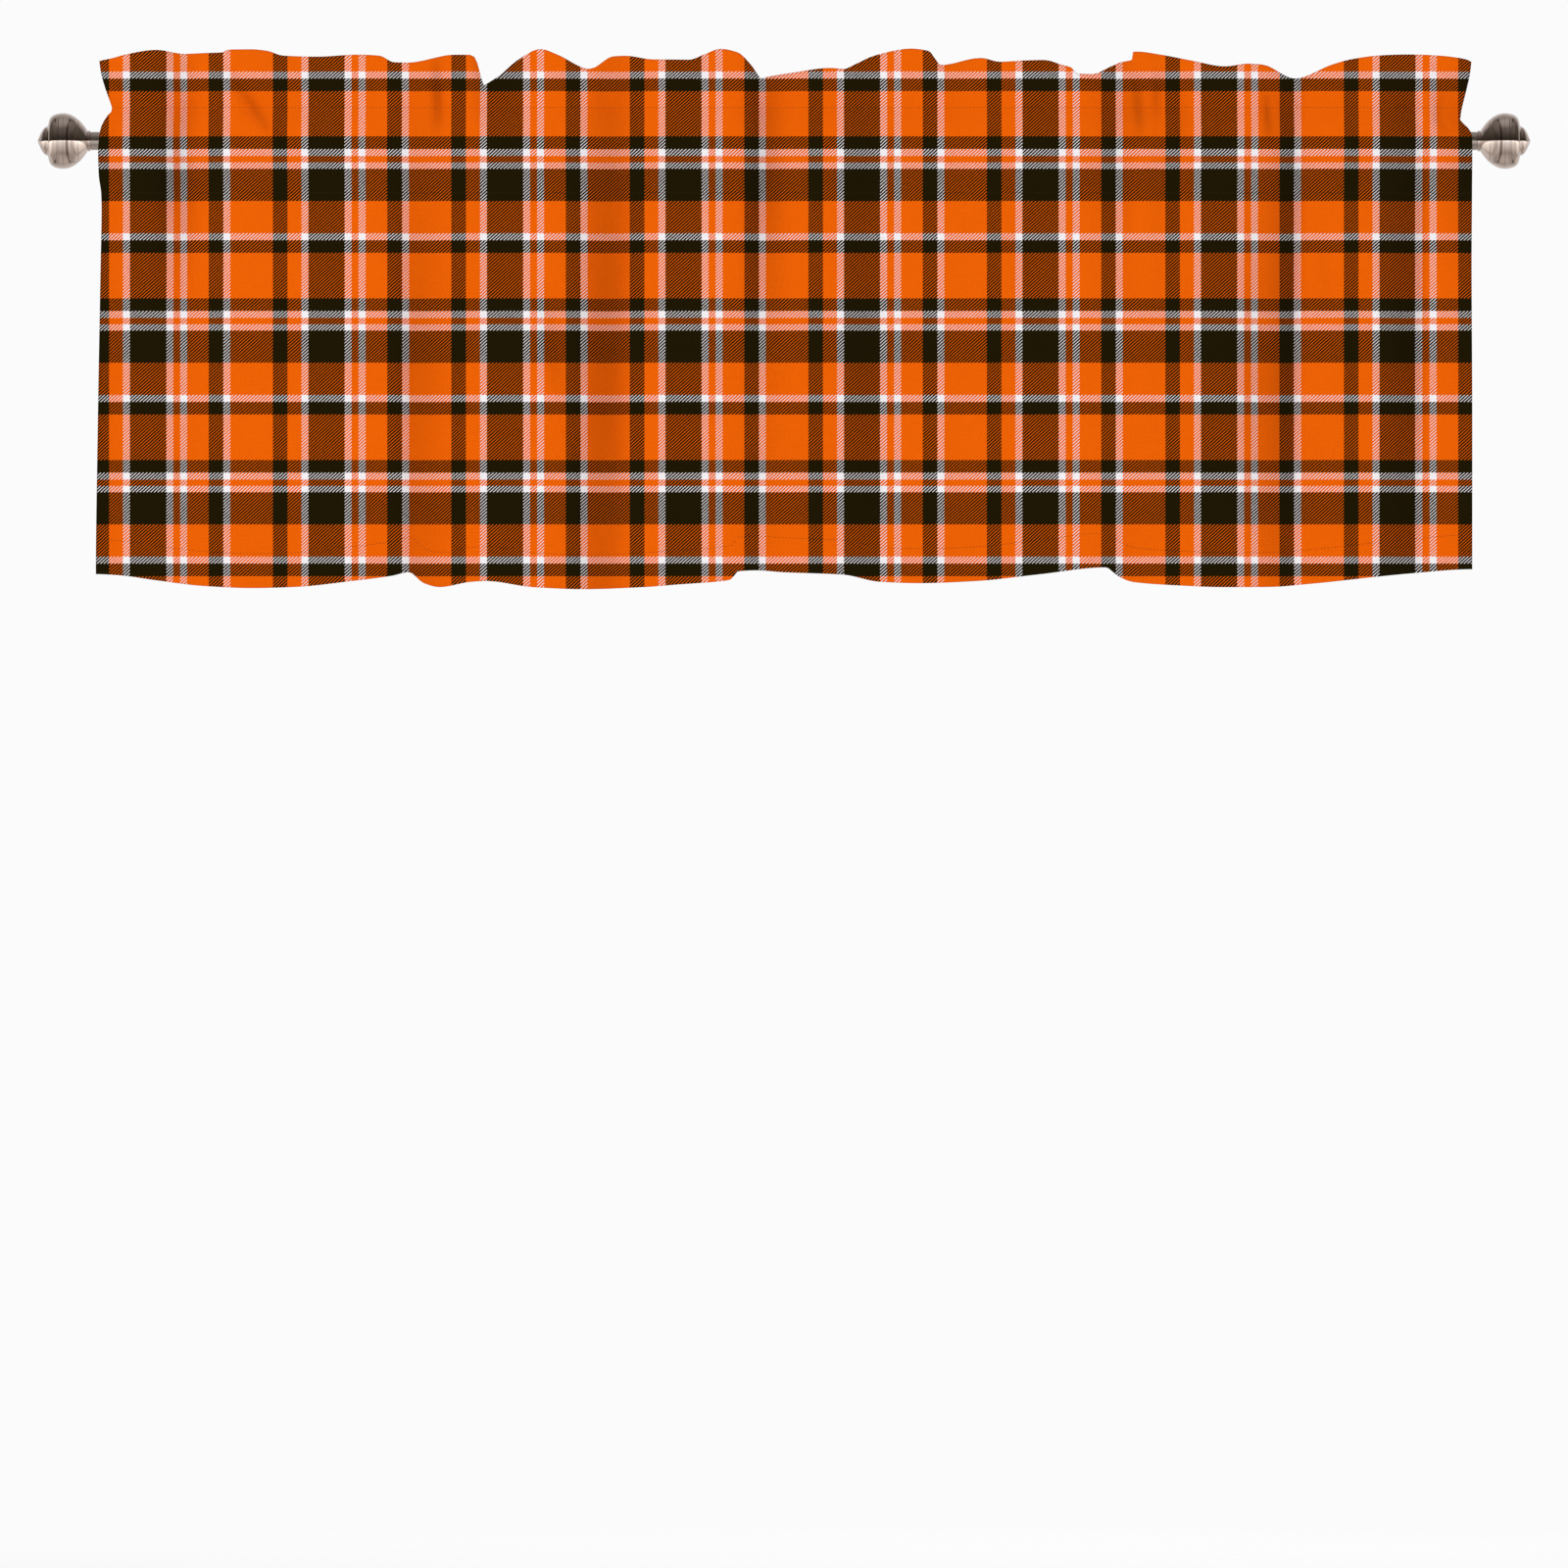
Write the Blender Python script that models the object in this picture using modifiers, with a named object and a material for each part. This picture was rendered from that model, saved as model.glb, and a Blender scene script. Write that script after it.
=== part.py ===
"""Rod-pocket window valance, gathered on a curtain rod with a finial at each end.

The valance is one length of cloth. Its top is folded over to the back and sewn down along two
rows: the upper row parts the standing header from the rod pocket, and the lower row closes the
pocket. The foot of the cloth is turned up at the back as a hem. Layers that lie together are kept
LAYER_PITCH apart from middle to middle, so the folded cloth is one continuous sheet.

Frame: the origin is on the rod's axis at the middle of its length, +X runs along the rod,
-Y faces the room and +Z is up. Metres.
"""

import math
from collections import namedtuple

import bmesh
import bpy
import numpy as np

MM = 0.001

# Driving dimensions
ROD_DIAMETER = 16 * MM
ROD_WALL = 0.8 * MM
ROD_LENGTH = 1220 * MM
ROD_SIDES = 32

HUNG_WIDTH = 1211 * MM  # across the valance as it hangs, side edge to side edge
CLOTH_THICKNESS = 1.2 * MM
LAYER_PITCH = 2.1 * MM  # middle to middle of two layers lying together
ROD_CLEARANCE = 0.8 * MM  # between the rod and the pocket's layers, where they are closest

UPPER_SEAM_Z = 29 * MM  # between the header and the rod pocket
LOWER_SEAM_Z = -46 * MM  # the foot of the rod pocket
SEAM_ALLOWANCE = 3 * MM  # the back layer's folded edge runs on past the lower seam
HEM_HEIGHT = 32 * MM
HEADER_LOOP = 4.4 * MM  # middle to middle of the header's two layers near its top
RIDGE_Y = -10 * MM  # where the cloth is between folds; a fold lies behind this
MOST_FOLD = 14 * MM  # the deepest fold
RIDGE_PUFF = 8 * MM  # how far the pocket's front stands off the rod between folds
BACK_PUFF = 1 * MM

SKIRT_ROWS = 7
POCKET_ROWS = 5
HEADER_ROWS = 2
TURN_ROWS = 3
WIDEST_COLUMN = 29 * MM
NARROWEST_COLUMN = 6 * MM

FINIAL_SIDES = 40
JOINT_GAP = 0.3 * MM
SPIGOT_LENGTH = 20 * MM

# The header's top edge and the hem, from the left side edge to the right one, in millimetres.
EdgePoint = namedtuple("EdgePoint", "x z")
TOP_EDGE = [
    EdgePoint(*row)
    for row in (
        (-605.5, 70), (-559, 80), (-525, 76.6), (-470, 80.4), (-438, 75), (-365, 75.5), (-333, 68.8),
        (-274, 75.9), (-263, 50), (-216, 80.6), (-172, 63.4), (-147, 75), (-115, 71.5), (-84, 71.4),
        (-55, 80.8), (-20, 55.5), (40, 64), (56, 64), (108, 81), (127, 79), (138, 66.8), (174, 72.8),
        (232, 70.5), (264, 58), (300, 69.8), (309, 78.4), (350, 72.3), (388, 65.4), (420, 67),
        (451, 55), (500, 71.8), (555, 76), (605.5, 71),
    )
]  # fmt: skip
HEM_EDGE = [
    EdgePoint(*row)
    for row in (
        (-605.5, -381.3), (-588, -382.2), (-510, -391.8), (-470, -393.6), (-380, -387.4),
        (-330, -379.6), (-317, -389.2), (-304, -392.7), (-266, -387.4), (-221, -392.8),
        (-179, -394.5), (-95, -390.6), (-53, -387.2), (-42, -379), (0, -379.7), (54, -382),
        (85, -388), (120, -389.3), (224, -381.6), (284, -375.5), (296, -384), (309, -388.5),
        (388, -392.8), (518, -384), (605.5, -377),
    )
]  # fmt: skip

# How far in each side edge stands from the full width, by height, in millimetres.
SideInset = namedtuple("SideInset", "z left right")
SIDE_INSETS = [
    SideInset(-385, 0, 0),
    SideInset(-250, 1.7, 0),
    SideInset(-110, 4.2, 0.5),
    SideInset(-58, 5.1, 0.1),
    SideInset(-46, 4.7, 0),
    SideInset(-30, 2.7, 0),
    SideInset(-10, 2.3, 0.1),
    SideInset(4, 3.4, 0.4),
    SideInset(12, 5, 4.5),
    SideInset(18, 8, 10.8),
    SideInset(22, 10.6, 10.2),
    SideInset(27, 14.5, 9.4),
    SideInset(36, 12, 7.2),
    SideInset(45, 8.8, 5),
    SideInset(60, 4.6, 1.8),
    SideInset(70, 3.2, 0.8),
    SideInset(82, 1.5, 0.4),
]
SIDE_REACH = 55 * MM  # how far into the cloth a side edge's inset is felt

# The soft vertical folds. x_head and x_hem are the fold's middle at the header and at the hem,
# left and right how far its flanks reach, and the rest how deep it is at four heights, all in
# millimetres. A fold of negative depth is a ridge that stands forward.
Fold = namedtuple("Fold", "x_head x_hem left right header pocket skirt hem")
FOLDS = [
    Fold(-605, -606, 20, 22, 3, 5, 6, 6),
    Fold(-534, -536, 20, 16, 8, 13, 4, 3),
    Fold(-436, -440, 30, 34, 4, 1, 1, 1),
    Fold(-330, -324, 12, 30, 2, 5, 10, 8),
    Fold(-262, -262, 9, 24, 9, 3, 1, 1),
    Fold(-150, -160, 26, 18, 7, 11, 15, 11),
    Fold(-80, -80, 12, 10, 5, 1, 1, 1),
    Fold(-18, -20, 14, 18, 8, 13, 6, 5),
    Fold(68, 76, 20, 14, 2, 5, 7, 5),
    Fold(143, 150, 10, 20, 5, 2, 2, 2),
    Fold(292, 296, 20, 13, 7, 8, 2, 4),
    Fold(332, 334, 10, 22, 2, 4, 1, 0),
    Fold(410, 412, 18, 14, 1, 2, 7, 1),
    Fold(447, 438, 22, 10, 7, 11, 14, 9),
    Fold(554, 550, 20, 9, 4, 10, 11, 9),
    Fold(604, 606, 18, 14, 5, 9, 3, 4),
]
FOLD_LEVELS = (-385 * MM, -210 * MM, 0, 75 * MM)  # the heights of a fold's four depths

# The finial's outline from its base to its tip: distance from the base and radius, in
# millimetres.
FinialPoint = namedtuple("FinialPoint", "out radius")
FINIAL_PROFILE = [
    FinialPoint(*row)
    for row in (
        (0, 9.2), (1.6, 9.2), (2.2, 8.6), (4.4, 11.6), (7.4, 15.4), (10.2, 18.3), (11.0, 18.2),
        (11.8, 19.4), (15, 21.8), (19, 23.7), (23.5, 24.5), (27.4, 24.3), (28.2, 23.6),
        (29.0, 23.9), (32.4, 22.7), (34.8, 20.9), (36.2, 18.5), (37.0, 15.2), (37.9, 13.0),
        (39.2, 12.4), (41.6, 10.5), (43.6, 7.2), (45.2, 3.6), (46.4, 1.2),
    )
]  # fmt: skip


def monotone_curve(stations, values, at):
    """A smooth curve through the stations that turns only where the values do.

    Each piece is a cubic whose end slopes are the harmonic mean of the chords beside that
    station, or level where the chords point opposite ways.
    """
    stations, values = np.asarray(stations, float), np.asarray(values, float)
    run = np.diff(stations)
    chord = np.diff(values) / run
    slope = np.zeros(len(stations))
    rising = chord[:-1] * chord[1:] > 0
    both = chord[:-1] + chord[1:]
    slope[1:-1][rising] = 2 * chord[:-1][rising] * chord[1:][rising] / both[rising]
    piece = np.clip(np.searchsorted(stations, at) - 1, 0, len(run) - 1)
    t = np.clip((at - stations[piece]) / run[piece], 0, 1)
    start, end = values[piece], values[piece + 1]
    leave, arrive = slope[piece] * run[piece], slope[piece + 1] * run[piece]
    return (
        start * (1 + 2 * t) * (1 - t) ** 2
        + end * t * t * (3 - 2 * t)
        + leave * t * (1 - t) ** 2
        - arrive * t * t * (1 - t)
    )


def edge_height(edge, x):
    """Height of the top edge or of the hem at x."""
    return MM * monotone_curve([p.x for p in edge], [p.z for p in edge], x / MM)


def fold_depth(x, z):
    """How far behind the ridges the cloth lies at (x, z): the sum of the folds' troughs."""
    depth = np.zeros_like(x)
    low, high = FOLD_LEVELS[0], FOLD_LEVELS[-1]
    share = np.clip((z - low) / (high - low), 0, 1)
    for fold in FOLDS:
        middle = MM * (fold.x_hem + (fold.x_head - fold.x_hem) * share)
        flank = MM * np.where(x < middle, fold.left, fold.right)
        levels = (fold.hem, fold.skirt, fold.pocket, fold.header)
        deep = MM * monotone_curve(FOLD_LEVELS, levels, z)
        depth += deep * np.exp(-(((x - middle) / flank) ** 2))
    return depth


def middle_y(x, z):
    """Depth of the front layer's middle, without the pocket's bulge."""
    return RIDGE_Y + fold_depth(x, z)


def pocket_bulge(z):
    """0 at both seams and 1 beside the rod, like the outline of a drop."""
    share = (z - LOWER_SEAM_Z) / (UPPER_SEAM_Z - LOWER_SEAM_Z)
    rod_share = -LOWER_SEAM_Z / (UPPER_SEAM_Z - LOWER_SEAM_Z)
    power = math.log(0.5) / math.log(rod_share)
    return np.sin(math.pi * np.clip(share, 0, 1) ** power)


def pocket_front_y(x, z):
    """The pocket's front layer, which puffs forward between folds and nears the rod in them."""
    beside_rod = middle_y(x, np.zeros_like(x))
    sunk = np.clip((beside_rod - RIDGE_Y) / MOST_FOLD, 0, 1)
    near_rod = ROD_DIAMETER / 2 + ROD_CLEARANCE + CLOTH_THICKNESS / 2
    forward = near_rod + RIDGE_PUFF * (1 - sunk)
    return middle_y(x, z) - (beside_rod + forward) * pocket_bulge(z)


def pocket_back_y(x, z):
    """The pocket's back layer, which hangs close behind the rod."""
    beside_rod = middle_y(x, np.zeros_like(x)) + LAYER_PITCH
    near_rod = ROD_DIAMETER / 2 + ROD_CLEARANCE + CLOTH_THICKNESS / 2
    back = near_rod + BACK_PUFF
    return middle_y(x, z) + LAYER_PITCH + (back - beside_rod) * pocket_bulge(z)


def between(start, end, count):
    """count shares strictly between start and end."""
    return np.linspace(start, end, count + 2)[1:-1]


def turn(middle, centre_z, radius, angles):
    """Rows round a fold: (y, z) on a half circle, from angles in degrees, 0 being straight back."""
    return [
        (middle + radius * math.cos(math.radians(a)), centre_z + radius * math.sin(math.radians(a)))
        for a in angles
    ]


def cloth_rows(x):
    """The (y, z) of each row across the cloth, from the hem's inner edge round to the pocket's."""
    ones = np.ones_like(x)
    half_pitch, half_loop = LAYER_PITCH / 2, HEADER_LOOP / 2
    foot = edge_height(HEM_EDGE, x) + CLOTH_THICKNESS / 2 + half_pitch
    crown = edge_height(TOP_EDGE, x) - CLOTH_THICKNESS / 2 - half_loop

    def skirt_y(z):
        return middle_y(x, z)

    rows = [(skirt_y(z) + LAYER_PITCH, z) for z in (foot + HEM_HEIGHT, foot)]
    quarter_turns = between(0, -180, TURN_ROWS)
    rows += turn(skirt_y(foot) + half_pitch, foot, half_pitch, quarter_turns)
    for share in np.linspace(0, 1, SKIRT_ROWS + 1):
        z = foot + (LOWER_SEAM_Z - foot) * share
        rows.append((skirt_y(z), z))
    for share in between(0, 1, POCKET_ROWS):
        z = (LOWER_SEAM_Z + (UPPER_SEAM_Z - LOWER_SEAM_Z) * share) * ones
        rows.append((pocket_front_y(x, z), z))
    rows.append((middle_y(x, UPPER_SEAM_Z * ones), UPPER_SEAM_Z * ones))

    def header_y(share, layer):
        """layer is -1 for the front one and 1 for the back one."""
        z = UPPER_SEAM_Z + (crown - UPPER_SEAM_Z) * share
        opened = math.sin(math.pi / 2 * min(1, share / 0.6))
        apart = half_pitch + (half_loop - half_pitch) * opened
        return middle_y(x, z) + half_pitch + layer * apart, z

    climb = list(between(0, 1, HEADER_ROWS)) + [1.0]
    rows += [header_y(share, -1) for share in climb]
    rows += turn(middle_y(x, crown) + half_pitch, crown, half_loop, between(180, 0, TURN_ROWS))
    rows += [header_y(share, 1) for share in reversed(climb)]
    rows.append((middle_y(x, UPPER_SEAM_Z * ones) + LAYER_PITCH, UPPER_SEAM_Z * ones))
    for share in between(1, 0, POCKET_ROWS):
        z = (LOWER_SEAM_Z + (UPPER_SEAM_Z - LOWER_SEAM_Z) * share) * ones
        rows.append((pocket_back_y(x, z), z))
    for z in (LOWER_SEAM_Z * ones, (LOWER_SEAM_Z - SEAM_ALLOWANCE) * ones):
        rows.append((middle_y(x, z) + LAYER_PITCH, z))
    return rows


def column_positions():
    """x of each column: at the points of both edges, with wide gaps between them divided.

    A point of the hem that is close to one of the top edge shares its column.
    """
    top_marks = [p.x * MM for p in TOP_EDGE]
    hem_marks = [p.x * MM for p in HEM_EDGE]
    alone = [x for x in hem_marks if min(abs(x - t) for t in top_marks) > NARROWEST_COLUMN]
    marks = sorted(top_marks + alone)
    columns = [marks[0]]
    for mark in marks[1:]:
        steps = max(1, math.ceil((mark - columns[-1]) / WIDEST_COLUMN))
        columns += list(np.linspace(columns[-1], mark, steps + 1)[1:])
    return np.array(columns)


def drawn_in(x, z):
    """x after the side edges are drawn in, most at the upper seam."""
    heights = [row.z for row in SIDE_INSETS]
    left = MM * monotone_curve(heights, [row.left for row in SIDE_INSETS], z / MM)
    right = MM * monotone_curve(heights, [row.right for row in SIDE_INSETS], z / MM)
    half = HUNG_WIDTH / 2
    return x + left * np.exp(-(x + half) / SIDE_REACH) - right * np.exp((x - half) / SIDE_REACH)


def new_object(name, mesh, material, collection):
    thing = bpy.data.objects.new(name, mesh)
    mesh.materials.append(material)
    collection.objects.link(thing)
    return thing


def make_material(name, colour, roughness, metallic=0.0):
    material = bpy.data.materials.new(name)
    material.use_nodes = True
    shader = material.node_tree.nodes["Principled BSDF"]
    shader.inputs["Base Color"].default_value = (*colour, 1)
    shader.inputs["Roughness"].default_value = roughness
    shader.inputs["Metallic"].default_value = metallic
    return material


def make_valance(material, collection):
    """The cloth's middle surface as a grid of rows by columns, thickened both ways."""
    x = column_positions()
    rows = cloth_rows(x)
    points = np.array([np.stack([drawn_in(x, z), y, z], axis=1) for y, z in rows])
    down, across = points.shape[:2]
    index = np.arange(down * across).reshape(down, across)
    corners = (index[:-1, :-1], index[:-1, 1:], index[1:, 1:], index[1:, :-1])
    faces = np.stack([c.ravel() for c in corners], axis=1)
    mesh = bpy.data.meshes.new("valance")
    mesh.from_pydata(points.reshape(-1, 3).tolist(), [], faces.tolist())
    mesh.shade_smooth()
    valance = new_object("valance", mesh, material, collection)
    thick = valance.modifiers.new("cloth_thickness", "SOLIDIFY")
    thick.thickness = CLOTH_THICKNESS
    thick.offset = 0
    thick.use_even_offset = True
    thick.use_quality_normals = True
    return valance


def make_rod(material, collection):
    """A round tube along X."""
    mesh = bpy.data.meshes.new("rod")
    shape = bmesh.new()
    bmesh.ops.create_cone(
        shape,
        cap_ends=False,
        segments=ROD_SIDES,
        radius1=ROD_DIAMETER / 2,
        radius2=ROD_DIAMETER / 2,
        depth=ROD_LENGTH,
    )
    shape.to_mesh(mesh)
    shape.free()
    mesh.shade_smooth()
    rod = new_object("rod", mesh, material, collection)
    rod.rotation_euler = (0, math.pi / 2, 0)
    wall = rod.modifiers.new("tube_wall", "SOLIDIFY")
    wall.thickness = ROD_WALL
    wall.offset = -1
    wall.use_rim = True
    return rod


def finial_outline():
    """(radius, height) from the tip down to the spigot's end, height measured out from the base."""
    bore = ROD_DIAMETER / 2 - ROD_WALL
    tip = [(0, FINIAL_PROFILE[-1].out * MM)]
    knob = [(p.radius * MM, p.out * MM) for p in reversed(FINIAL_PROFILE)]
    spigot_radius = bore - JOINT_GAP
    chamfer = 1 * MM
    spigot = [
        (spigot_radius, 0),
        (spigot_radius, chamfer - SPIGOT_LENGTH),
        (spigot_radius - chamfer, -SPIGOT_LENGTH),
        (0, -SPIGOT_LENGTH),
    ]
    return tip + knob + spigot


def make_finial(name, side, material, collection):
    """A turned knob whose spigot plugs into the rod's end. side is -1 at the left, 1 at the right."""
    outline = finial_outline()
    mesh = bpy.data.meshes.new(name)
    links = [(i, i + 1) for i in range(len(outline) - 1)]
    mesh.from_pydata([(radius, 0, height) for radius, height in outline], links, [])
    finial = new_object(name, mesh, material, collection)
    lathe = finial.modifiers.new("turned", "SCREW")
    lathe.steps = lathe.render_steps = FINIAL_SIDES
    lathe.use_merge_vertices = True
    lathe.merge_threshold = 0.00001
    lathe.use_smooth_shade = True
    finial.location.x = side * (ROD_LENGTH / 2 + JOINT_GAP)
    finial.rotation_euler.y = side * math.pi / 2
    return finial


def main():
    for thing in list(bpy.data.objects):
        bpy.data.objects.remove(thing)
    collection = bpy.data.collections.new("window_valance")
    bpy.context.scene.collection.children.link(collection)
    plaid = make_material("plaid_cloth", (0.85, 0.12, 0.0), 0.85)
    metal = make_material("polished_metal", (0.62, 0.56, 0.51), 0.18, metallic=1.0)
    make_valance(plaid, collection)
    make_rod(metal, collection)
    make_finial("finial_left", -1, metal, collection)
    make_finial("finial_right", 1, metal, collection)


main()
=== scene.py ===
"""Looks of the rod-pocket window valance: plaid twill cloth gathered on a metal rod with finials.

Lengths are in metres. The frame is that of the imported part: the origin is on the rod's axis at
the middle of its length, +X runs along the rod, -Y faces the room and +Z is up.
"""

import math
from collections import namedtuple

import bpy
import numpy as np
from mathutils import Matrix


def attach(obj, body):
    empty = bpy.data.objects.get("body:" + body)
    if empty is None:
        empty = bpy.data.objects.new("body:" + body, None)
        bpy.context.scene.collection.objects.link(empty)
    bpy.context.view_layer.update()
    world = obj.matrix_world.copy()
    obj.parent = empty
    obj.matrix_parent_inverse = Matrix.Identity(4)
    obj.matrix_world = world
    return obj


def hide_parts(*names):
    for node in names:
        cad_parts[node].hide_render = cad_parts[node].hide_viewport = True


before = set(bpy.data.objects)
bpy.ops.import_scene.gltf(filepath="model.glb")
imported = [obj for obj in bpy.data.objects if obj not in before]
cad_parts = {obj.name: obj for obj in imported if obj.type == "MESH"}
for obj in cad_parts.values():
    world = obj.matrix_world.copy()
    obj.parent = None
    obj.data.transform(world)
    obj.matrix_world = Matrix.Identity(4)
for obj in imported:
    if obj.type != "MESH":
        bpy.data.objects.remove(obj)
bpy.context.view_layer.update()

MM = 0.001

# ---------------------------------------------------------------- the cloth as cut and sewn
HUNG_WIDTH = 1211 * MM
CLOTH_THICKNESS = 0.7 * MM
LAYER_PITCH = 1.9 * MM
ROD_RADIUS = 8 * MM
ROD_CLEARANCE = 0.9 * MM
UPPER_SEAM_Z = 29 * MM
LOWER_SEAM_Z = -46 * MM
SEAM_ALLOWANCE = 3 * MM
HEM_HEIGHT = 32 * MM
HEM_STITCH_RISE = HEM_HEIGHT - SEAM_ALLOWANCE  # the hem's row of stitches above the foot
HEM_PLAID = 0.85  # the turned-up hem is drawn together, so that no dark stripe starts at its edge
HEADER_LOOP = 4.6 * MM
HEADER_OPENING = 0.6  # share of the header's height over which its two layers part
HEADER_FOLD_Z = 71.2 * MM  # where the header's fold lies on average, for the plaid at the back
RIDGE_Y = -10 * MM
MOST_FOLD = 14 * MM
RIDGE_PUFF = 8 * MM
BACK_PUFF = 1 * MM
NEAR_ROD = ROD_RADIUS + ROD_CLEARANCE + CLOTH_THICKNESS / 2
SEAM_DIP = 0.5 * MM
SEAM_DIP_REACH = 2.2 * MM
MOST_PAINTED_SHADE_DEPTH = 1.1  # the deepest fold depth that the shade painted into the cloth's colour follows, as a share of MOST_FOLD

# Rows and columns of the cloth's grid.
COLUMNS = 362
COLUMN_GAP = 1.6 * MM  # an even column closer than this to a point of an edge gives way to it
HEM_ROWS = 7
HEM_FOLD_ROWS = 7
SKIRT_ROWS = 42
SKIRT_ROW_POWER = 0.94  # below 1, the skirt's rows lie slightly closer towards the pocket
POCKET_ROWS = 22
HEADER_ROWS = 11
HEADER_FOLD_ROWS = 9
FOLD_MIDDLE = 0.01  # a cosine below this is the line in the middle of a fold

EdgePoint = namedtuple("EdgePoint", "x z")
TOP_EDGE = [
    EdgePoint(*row)
    for row in (
        (-605.5, 70.2), (-602.5, 70.9), (-593, 72.7), (-580, 76), (-552, 80), (-528, 76.6),
        (-508, 77.2), (-493.5, 77.7), (-489.5, 80.1), (-468, 80.4), (-455, 79.2), (-441, 75), (-410, 74),
        (-375, 75.7), (-356, 74.8), (-343, 69), (-331, 68.8), (-290, 75.6), (-276.5, 75.6),
        (-272.5, 73.8), (-270, 68.5), (-267, 57), (-264.2, 48.8), (-260.5, 51), (-252, 56.4), (-245, 62),
        (-235, 70.5), (-214, 80.6), (-200, 76), (-171, 63.3), (-150, 74.5), (-140, 74.9),
        (-115, 71.5), (-84, 71.4), (-69, 76.4), (-56, 80.8), (-41, 77.8), (-28, 65.5), (-20, 55.4),
        (-12, 57), (10, 60.2), (40, 64), (53, 63.2), (62, 67), (80, 75), (112, 81), (127, 79),
        (138, 66.8), (173, 72.8), (190, 69.4), (210, 70.5), (229, 71), (244, 66.9), (252.5, 64.4),
        (258.5, 59), (272, 58.7), (285.6, 64.5), (296.5, 69.3), (306.2, 71.2), (307.3, 78.2),
        (310, 78.4), (331, 75.8), (359, 70.4), (388, 65.4), (408, 67.8), (421, 67), (450, 55),
        (483, 67.2), (500, 71.8), (524, 75), (550, 76), (577, 74.8), (592, 73.3), (602, 71.4),
        (605.5, 69.6),
    )
]  # fmt: skip
HEM_EDGE = [
    EdgePoint(*row)
    for row in (
        (-605.5, -381.3), (-585, -382.3), (-552, -386.8), (-510, -391.8), (-468, -393.6),
        (-430, -392.6), (-380, -387.4), (-345, -382.8), (-330, -379.6), (-317, -389.2),
        (-303, -392.7), (-276, -388.2), (-262, -387.4), (-221, -392.8), (-179, -394.5),
        (-124, -392.8), (-95, -390.6), (-52, -387.2), (-47, -386), (-41, -379), (-25, -378),
        (0, -379.7), (52, -381.8), (84, -388), (118, -389.3), (168, -387.5), (224, -381.6),
        (283, -375.4), (295, -383.8), (308, -388.4), (345, -391.2), (388, -392.8), (425, -392.6),
        (466, -389.6), (518, -384), (552, -380.6), (605.5, -377),
    )
]  # fmt: skip

SideInset = namedtuple("SideInset", "z left right")
SIDE_INSETS = [
    SideInset(-385, 0, 0),
    SideInset(-250, 1.7, 0),
    SideInset(-110, 4.2, 0.5),
    SideInset(-58, 5.1, 0.1),
    SideInset(-46, 4.7, 0),
    SideInset(-30, 2.7, 0),
    SideInset(-10, 2.3, 0.1),
    SideInset(4, 3.4, 0.4),
    SideInset(12, 5, 4.5),
    SideInset(18, 8, 10.8),
    SideInset(22, 10.6, 10.2),
    SideInset(27, 14.5, 9.4),
    SideInset(36, 12, 7.2),
    SideInset(45, 8.8, 5),
    SideInset(60, 4.6, 1.8),
    SideInset(70, 3.2, 0.8),
    SideInset(82, 1.5, 0.4),
]
SIDE_REACH = 55 * MM

# x_head and x_hem: the fold's middle at the header and at the hem. left and right: the reach of
# its flanks. header, pocket, skirt, hem: its depth at four heights. All in millimetres.
Fold = namedtuple("Fold", "x_head x_hem left right header pocket skirt hem")
FOLDS = [
    Fold(-605, -606, 20, 22, 3, 5, 6, 6),
    Fold(-534, -536, 20, 16, 8, 13, 4, 3),
    Fold(-436, -440, 30, 34, 4, 1, 1, 1),
    Fold(-330, -324, 12, 30, 2, 5, 10, 8),
    Fold(-262, -262, 9, 24, 9, 3, 1, 1),
    Fold(-150, -160, 26, 18, 7, 11, 15, 11),
    Fold(-80, -80, 12, 10, 5, 1, 1, 1),
    Fold(-18, -20, 14, 18, 8, 13, 6, 5),
    Fold(68, 76, 20, 14, 2, 5, 7, 5),
    Fold(143, 150, 10, 20, 5, 2, 2, 2),
    Fold(292, 296, 20, 13, 7, 8, 2, 4),
    Fold(332, 334, 10, 22, 2, 4, 1, 0),
    Fold(410, 412, 18, 14, 1, 2, 7, 1),
    Fold(447, 438, 22, 10, 7, 11, 14, 9),
    Fold(554, 550, 20, 9, 4, 10, 11, 9),
    Fold(604, 606, 18, 14, 5, 9, 3, 4),
]
GROOVE_SHADE = 4  # in the painted shade, a narrow groove is as dark as a fold this many times deeper
CREASE_FADE = 0.8  # below 1, a crease keeps its height nearer to its ends
FOLD_LEVELS = (-385 * MM, -210 * MM, 0, 75 * MM)

# Creases: short ridges or grooves from one point to another. height is how far it stands
# forward (a groove where negative), width its half width. All in millimetres.
Crease = namedtuple("Crease", "x0 z0 x1 z1 width height")
CREASES = [
    Crease(-502, 58, -462, 0, 6, 1.6),
    Crease(-494, 66, -446, 0, 5.5, -3.4),
    Crease(-306, 80, -304, 2, 5, -3.8),
    Crease(-196, 66, -176, 30, 6, -1.2),
    Crease(-160, 66, -172, 30, 6, 1.4),
    Crease(423, 50, 427, -2, 4, -2.8),
    Crease(309, 64, 314, -4, 6.5, -3.5),
    Crease(329, 64, 327, 18, 4.5, -2.5),
    Crease(572, 70, 574, 24, 4, -1.6),
    Crease(582, 52, 580, -4, 7, -2.5),
    Crease(352, 60, 346, -30, 6, -1.4),
    Crease(96, 20, 92, -40, 5, -1.6),
    Crease(-214, -120, -196, -236, 11, -2.4),
    Crease(-120, -30, -128, -150, 10, 1.0),
    Crease(60, -50, 52, -190, 12, 0.9),
    Crease(205, -52, 214, -170, 10, -0.9),
    Crease(470, -44, 480, -200, 10, -1.0),
    Crease(-400, -50, -392, -190, 12, -0.9),
]

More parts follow.
